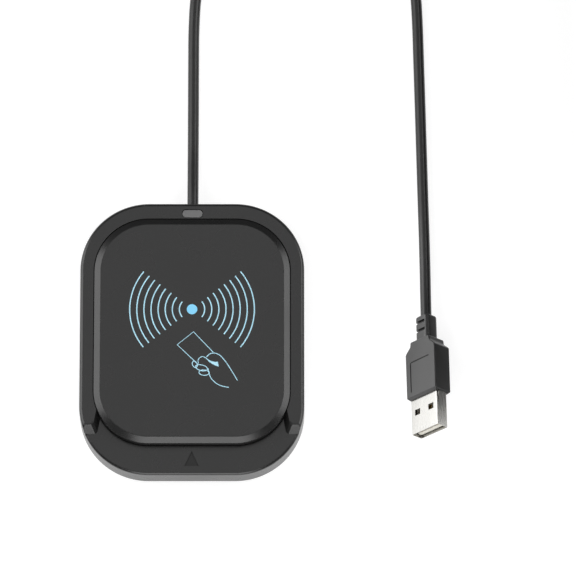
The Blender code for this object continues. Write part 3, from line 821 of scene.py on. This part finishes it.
def horn_space(name, channel):
    """The space that the horns leave: the channel between them, or the ledge in front of them."""
    above = 1.0 * MM
    beyond = 4.0 * MM
    top_drop = -above / (rim_height - ledge_height)

    def rule(corner):
        drop = top_drop if corner.z > ledge_height + MM else 1.0
        edge = horn_edge - horn_side_slope * drop
        end = front_y + horn_back + (horn_foot_back - horn_back) * drop
        side = 1.0 if corner.x > 0 else -1.0
        rear = corner.y > front_y
        if channel:
            y = platform_front + platform_corner if rear else front_y - beyond
            return Vector((side * (edge + horn_lean * (end - y)), y, corner.z))
        y = end if rear else front_y - beyond
        return Vector((side * (half_width + beyond), y, corner.z))

    low = (-half_width, front_y - beyond, ledge_height)
    high = (half_width, 0.0, rim_height + above)
    space = place_corners(block(name, low, high), rule)
    return drop_below(space, ledge_height, 2.0 * MM)


def window_pocket():
    """The room under the light window, cut from the cover and the platform alike."""
    half = 5.1 * MM
    low = (-half, 35.0 * MM, deck_under - MM)
    return block("pocket", low, (half, lens_middle + 0.9 * MM, lens_low.z - lens_gap))


def arrow_tool():
    """A shallow triangle, its tip towards the platform."""
    tip = platform_front - 1.8 * MM
    length = 4.9 * MM
    half = 2.3 * MM
    depth = 0.25 * MM
    blunt = 0.05 * MM

    def rule(corner):
        reach = blunt if corner.y > tip - length / 2 else half
        side = 1.0 if corner.x > 0 else -1.0
        return Vector((side * reach, corner.y, corner.z))

    low = (-half, tip - length, ledge_height - depth)
    tool = place_corners(block("arrow", low, (half, tip, ledge_height + MM)), rule)
    return bevel_edges(tool, runs_along(Z), 0.04 * MM, 3)


def make_rim():
    """The raised rim, with the corners and tips of its horns rounded."""
    foot = ledge_height - edge_round + 0.05 * MM
    rim = outline_slab("rim", 0.0, foot, rim_height)
    bevel_edges(rim, outline_at(rim_height), rim_round, 9)
    combine(rim, horn_space("channel", True))
    combine(rim, horn_space("ledge_space", False))
    tidy(rim)
    horn_end = front_y + horn_back

    def horn_corner(edge):
        a, b = edge.verts
        rises = abs(a.co.z - b.co.z) > 1.5 * MM
        out = min(abs(a.co.x), abs(b.co.x)) > horn_edge - 3.0 * MM
        inner = max(abs(a.co.x), abs(b.co.x)) < horn_edge + 0.4 * MM
        return rises and out and inner and max(a.co.y, b.co.y) < horn_end + 0.5 * MM

    def horn_tip(edge):
        ahead = max(v.co.y for v in edge.verts) < horn_end + 0.95 * MM
        return ahead and lies_at(Z, rim_height)(edge)

    bevel_edges(rim, horn_corner, horn_round, 8)
    return bevel_edges(rim, horn_tip, horn_tip_round, 5)


def make_cover():
    """Top cover: the low body with its ledge, and the raised rim that ends in two horns."""
    cover = outline_slab("top_cover_shell", 0.0, cover_low.z, ledge_height)
    bevel_edges(cover, outline_at(ledge_height), edge_round, 7)
    combine(cover, make_rim(), "UNION")
    combine(cover, outline_slab("cavity", wall, cover_low.z - MM, deck_under))
    combine(cover, panel_slab("opening", -platform_gap, shelf_top, platform_top))
    combine(cover, panel_slab("way_through", shelf_width, deck_under - MM, shelf_top + MM))
    combine(cover, window_pocket())
    hole_low = (lens_low.x - lens_gap, lens_low.y - lens_gap, panel_under - MM)
    hole_high = (lens_high.x + lens_gap, lens_high.y + lens_gap, rim_height + MM)
    combine(cover, bar("window_hole", hole_low, hole_high, Z, lens_corner + lens_gap, 8))
    combine(cover, lead_peg("lead_way", back_y - 2.0 * MM, 6.0 * MM, 2.7 * MM))
    combine(cover, arrow_tool())
    polish(soften(tidy(cover), 0.13 * MM, angle=32.0))
    piece(cover, abs_black, "black_plastic", "top_cover")
    cover.data.materials.append(abs_sunk)
    arrow_end = platform_front - 1.6 * MM
    for face in cover.data.polygons:
        x, y, z = face.center
        at_arrow = abs(x) < 2.6 * MM and arrow_end - 5.4 * MM < y < arrow_end
        if at_arrow and ledge_height - 0.5 * MM < z < ledge_height - 0.02 * MM:
            face.material_index = 1


def make_platform():
    """Card platform: a panel with a chamfered edge, hollow below, with the four screw bosses."""
    panel = panel_slab("card_panel", 0.0, panel_low.z, rim_height)
    hold(panel)
    bpy.ops.object.mode_set(mode="EDIT")
    pick(panel, "FACE", lambda face: face.normal.z > 0.9)
    bpy.ops.mesh.inset(thickness=platform_chamfer, depth=platform_rise)
    bpy.ops.object.mode_set(mode="OBJECT")
    top, foot = lies_at(Z, platform_top), lies_at(Z, rim_height)
    bevel_edges(panel, lambda edge: top(edge) or foot(edge), 0.22 * MM, 4)
    combine(panel, panel_slab("hollow", platform_wall, panel_low.z - MM, panel_under))
    for x, y in screw_spots:
        boss = peg("boss", x, y, boss_low, panel_under + 0.5 * MM, boss_radius)
        combine(panel, boss, "UNION")
        combine(panel, peg("pilot", x, y, boss_low - MM, panel_under - MM, pilot_radius, 20))
    combine(panel, window_pocket())
    polish(tidy(panel))
    piece(panel, abs_black, "black_plastic", "card_platform")


def make_window():
    lens = bar("status_lens", lens_low, lens_high, Z, lens_corner, 8)
    bevel_edges(lens, outline_at(lens_high.z), 0.2 * MM, 4)
    piece(polish(lens), lens_grey, "lens_plastic", "light_window")


# ---------------------------------------------------------------- print on the platform

# The hand and its card, in millimetres from the middle of the reader
card_outline = ((6.8, -5.3), (0.5, 1.45), (-4.7, -2.85), (1.9, -9.3))
back_of_hand = (
    (4.7, -6.9),
    (5.7, -5.95),
    (6.8, -5.6),
    (8.4, -6.0),
    (9.9, -7.3),
    (11.7, -9.8),
    (13.3, -12.4),
    (14.6, -14.7),
)
thumb = (
    (2.1, -9.1),
    (2.0, -8.1),
    (2.5, -7.2),
    (3.4, -6.8),
    (4.4, -7.2),
    (5.4, -8.1),
    (6.6, -9.0),
    (8.3, -9.8),
)
wrist = (
    (5.1, -10.6),
    (5.5, -11.8),
    (5.8, -13.2),
    (6.8, -14.7),
    (8.4, -16.0),
    (10.5, -16.75),
    (11.9, -17.0),
)
thumb_web = (
    (4.7, -7.5),
    (6.2, -8.25),
    (7.4, -8.6),
    (8.3, -8.5),
    (8.5, -9.4),
    (8.6, -10.1),
    (7.6, -9.8),
    (6.5, -9.2),
    (5.5, -8.5),
)
# Each fingertip: its middle, half width, half length, and lean in radians
fingertips = (
    (0.95, -9.35, 0.75, 1.1, 0.4),
    (3.1, -10.5, 1.95, 0.95, -0.25),
    (3.9, -12.1, 1.6, 0.9, -0.1),
)


def on_print(points):
    return [(x * MM, y * MM, 0.0) for x, y in points]


def leaning_oval(x, y, across, along, lean, steps=28):
    points = []
    for k in range(steps):
        angle = 2 * pi * k / steps
        u, v = across * cos(angle), along * sin(angle)
        points.append((x + u * cos(lean) - v * sin(lean), y + u * sin(lean) + v * cos(lean)))
    return on_print(points)


def wave_strokes(dot, line):
    """Eight arcs on each side of the dot."""
    nearest, apart = 4.05, 2.277
    reach = 39.0
    steps = 24
    arcs = []
    for side in (0.0, 180.0):
        for number in range(8):
            radius = (nearest + number * apart) * MM
            points = []
            for k in range(steps + 1):
                angle = radians(side - reach + 2 * reach * k / steps)
                points.append((dot.x + radius * cos(angle), dot.y + radius * sin(angle), 0.0))
            arcs.append(stroke("wave", points, line))
    return arcs


def flat_shape(name, outline, thick):
    """A filled flat shape."""
    curve = bpy.data.curves.new(name, "CURVE")
    curve.dimensions = "2D"
    curve.fill_mode = "BOTH"
    curve.extrude = thick
    spline = curve.splines.new("POLY")
    spline.points.add(len(outline) - 1)
    for point, (x, y) in zip(spline.points, outline):
        point.co = (x * MM, y * MM, 0.0, 1.0)
    spline.use_cyclic_u = True
    shape = bpy.data.objects.new(name, curve)
    bpy.context.scene.collection.objects.link(shape)
    hold(shape)
    bpy.ops.object.convert(target="MESH")
    return shape


def make_print():
    """A dot, eight waves on each side, and a hand that holds a card: thin raised ink."""
    ink_height = 0.03 * MM
    line, fine = 0.19 * MM, 0.13 * MM
    dot = Vector((0.0, 8.94 * MM))
    strokes = wave_strokes(dot, line)
    strokes.append(stroke("card", on_print(card_outline), fine))
    strokes.append(stroke("back_of_hand", on_print(back_of_hand), fine, smooth=True))
    strokes.append(stroke("thumb", on_print(thumb), fine, smooth=True))
    for tip in fingertips:
        strokes.append(stroke("finger", leaning_oval(*tip), fine, closed=True))
    strokes.append(stroke("wrist", on_print(wrist), fine, smooth=True))
    strokes.append(flat_shape("thumb_web", thumb_web, line))
    for each in strokes:
        each.data.materials.append(ink_pale)
    printed = peg("dot", dot.x, dot.y, -line, line, 1.68 * MM, 64)
    printed.data.materials.append(ink_pale)
    printed.data.materials.append(ink_blue)
    for face in printed.data.polygons:
        face.material_index = 1
    hold(printed)
    for each in strokes:
        each.select_set(True)
    bpy.ops.object.join()
    printed.name = "platform_print"
    printed.scale = (1.0, 1.0, ink_height / line)
    printed.location = (0.0, 0.0, platform_top)
    hold(printed)
    bpy.ops.object.transform_apply(location=True, rotation=True, scale=True)
    bpy.ops.object.shade_smooth_by_angle(angle=radians(40.0))
    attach(printed, "root")


# ---------------------------------------------------------------- plug


def seat(obj):
    """Takes a piece from the plug's own frame to its place on the table."""
    obj.matrix_world = plug_frame
    hold(obj)
    bpy.ops.object.transform_apply(location=True, rotation=True, scale=True)
    return obj


def plug_box(half, deep, rear, front):
    """The low and high corners of a block about the plug's middle line."""
    return (-half, rear, -deep), (half, front, deep)


def make_relief():
    """Strain relief: rounded bar with two slots that leave a spine on one narrow side."""
    sides = plug_box(relief_half, relief_deep, 0.0, relief_length)
    relief = bar("plug_strain_relief", *sides, Y, 1.5 * MM, 8)
    bevel_edges(relief, lies_at(Y, 0.0), 0.7 * MM, 5)
    core = 1.7 * MM
    slot_half = 0.48 * MM
    for y in (2.3 * MM, 5.2 * MM):
        low = (-relief_half + 1.3 * MM, y - slot_half, -relief_deep - MM)
        slot = block("slot", low, (relief_half + MM, y + slot_half, relief_deep + MM))
        keep_low = (-relief_half - MM, y - MM, -core)
        combine(slot, block("keep", keep_low, (relief_half - 0.9 * MM, y + MM, core)))
        combine(relief, slot)
    lead_seat = plug_box(cord_radius, cord_radius, -MM, 1.2 * MM)
    combine(relief, bar("lead_seat", *lead_seat, Y, 1.75 * MM, 8))
    polish(soften(tidy(relief), 0.12 * MM))
    return piece(seat(relief), pvc_housing, "cord_jacket", "plug_relief")


def make_plug_housing():
    """Plug housing: a block drawn in twice towards the strain relief."""
    chamfer = 0.7 * MM
    shoulder, neck = 4.4 * MM, 4.2 * MM
    sides = plug_box(body_half, body_deep, relief_length + 3.7 * MM, body_front)
    housing = block("plug_housing", *sides)
    hold(housing)
    bpy.ops.object.mode_set(mode="EDIT")
    pick(housing, "FACE", lambda face: face.normal.y < -0.9)
    for step, before, after in ((2.0 * MM, body_half, shoulder), (1.7 * MM, shoulder, neck)):
        bpy.ops.mesh.extrude_region_move(TRANSFORM_OT_translate={"value": (0.0, -step, 0.0)})
        bpy.ops.transform.resize(value=(after / before, 1.0, 1.0), center_override=(0.0, 0.0, 0.0))
    bpy.ops.object.mode_set(mode="OBJECT")

    def rounded(edge):
        a, b = (v.co.y for v in edge.verts)
        return abs(a - b) >= touch or a <= body_front - chamfer - touch

    bevel_edges(housing, lies_at(Y, body_front), chamfer, 1)
    bevel_edges(housing, rounded, 0.42 * MM, 4)
    play = 0.12 * MM
    root = body_front - shell_root - 0.3 * MM
    pocket = plug_box(shell_half + play, shell_deep + play, root, body_front + MM)
    combine(housing, bar("shell_pocket", *pocket, Y, 0.65 * MM, 5))
    path = ((-3.9, 15.8), (3.7, 15.9), (4.05, 15.98), (4.25, 16.2), (4.3, 16.5), (4.3, 26.3))
    for side in (1, -1):
        surface = side * (body_deep - 0.1 * MM)
        points = [(x * MM, y * MM, surface) for x, y in path]
        combine(housing, stroke("groove", points, 0.26 * MM))
    polish(tidy(housing), 30.0)
    return piece(seat(housing), pvc_housing, "cord_jacket", "plug_body")


def make_shell():
    """Plug shell: sheet metal folded to a sleeve, with two square windows in each broad face."""
    root = body_front - shell_root
    mouth = body_front + shell_length
    inner_half, inner_deep = shell_half - shell_sheet, shell_deep - shell_sheet
    outside = plug_box(shell_half, shell_deep, root, mouth)
    inside = plug_box(inner_half, inner_deep, root - MM, mouth + MM)
    shell = bar("plug_shell_sleeve", *outside, Y, 0.6 * MM, 6)
    combine(shell, bar("shell_inside", *inside, Y, 0.35 * MM, 6))
    across, along, through = 1.15 * MM, 1.0 * MM, 5.0 * MM
    y = body_front + 4.7 * MM
    for x in (-3.0 * MM, 3.0 * MM):
        low = (x - across, y - along, -through)
        combine(shell, block("window", low, (x + across, y + along, through)))
    slit_low = (-shell_half - MM, body_front - 0.5 * MM, shell_deep - 0.75 * MM)
    slit_high = (-shell_half + 0.42 * MM, body_front + 3.4 * MM, shell_deep + MM)

    def rule(corner):
        if corner.y > body_front + MM and corner.x > -shell_half:
            return Vector((-shell_half + 0.02 * MM, corner.y, corner.z))
        return corner

    combine(shell, place_corners(block("fold_slit", slit_low, slit_high), rule))
    polish(soften(tidy(shell), 0.06 * MM))
    return piece(seat(shell), nickel, "shell_steel", "plug_shell")


def make_insulator():
    """Tongue in the mouth, with its four contacts let into the upper face."""
    tip = body_front + shell_length - 0.8 * MM
    low_z = -shell_deep + 0.6 * MM
    thick = 1.7 * MM
    half = shell_half - 0.6 * MM
    low = (-half, body_front - shell_root, low_z)
    tongue = block("plug_insulator", low, (half, tip, low_z + thick))
    bevel_edges(tongue, lies_at(Y, tip), 0.3 * MM, 4)
    polish(tongue)
    piece(seat(tongue), nylon_natural, "nylon", "plug_tongue")


def repaint_cad():
    """Gives the CAD parts that stay their finishes."""
    finishes = {
        "base_shell": abs_black,
        "rating_plate": foil,
        "main_board": solder_mask,
        "reader_chip": epoxy_black,
        "controller_chip": epoxy_black,
        "regulator": epoxy_black,
        "buzzer": epoxy_black,
        "crystal": zinc,
        "status_light": lens_grey,
        "cable_header": nylon_natural,
        "lead_housing": nylon_natural,
        "antenna_coil": copper,
        "board_screw_1": zinc,
        "board_screw_2": zinc,
    }
    for number, wire_finish in enumerate(wire_finishes, 1):
        finishes[f"foot_{number}"] = rubber_foot
        finishes[f"case_screw_{number}"] = zinc
        finishes[f"plug_contact_{number}"] = gold
        finishes[f"lead_wire_{number}"] = wire_finish
    for name, finish in finishes.items():
        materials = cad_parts[name].data.materials
        materials.clear()
        materials.append(finish)


make_camera()
make_table()
make_black_card()
make_light()
lead = make_lead()
strap = make_strap()
make_grommet()
make_cover()
make_platform()
make_window()
make_print()
relief = make_relief()
housing = make_plug_housing()
sleeve = make_shell()
make_insulator()
repaint_cad()

with_lead = [strap, relief, housing, sleeve, "plug_insulator"]
with_lead += [f"plug_contact_{number}" for number in range(1, 5)]
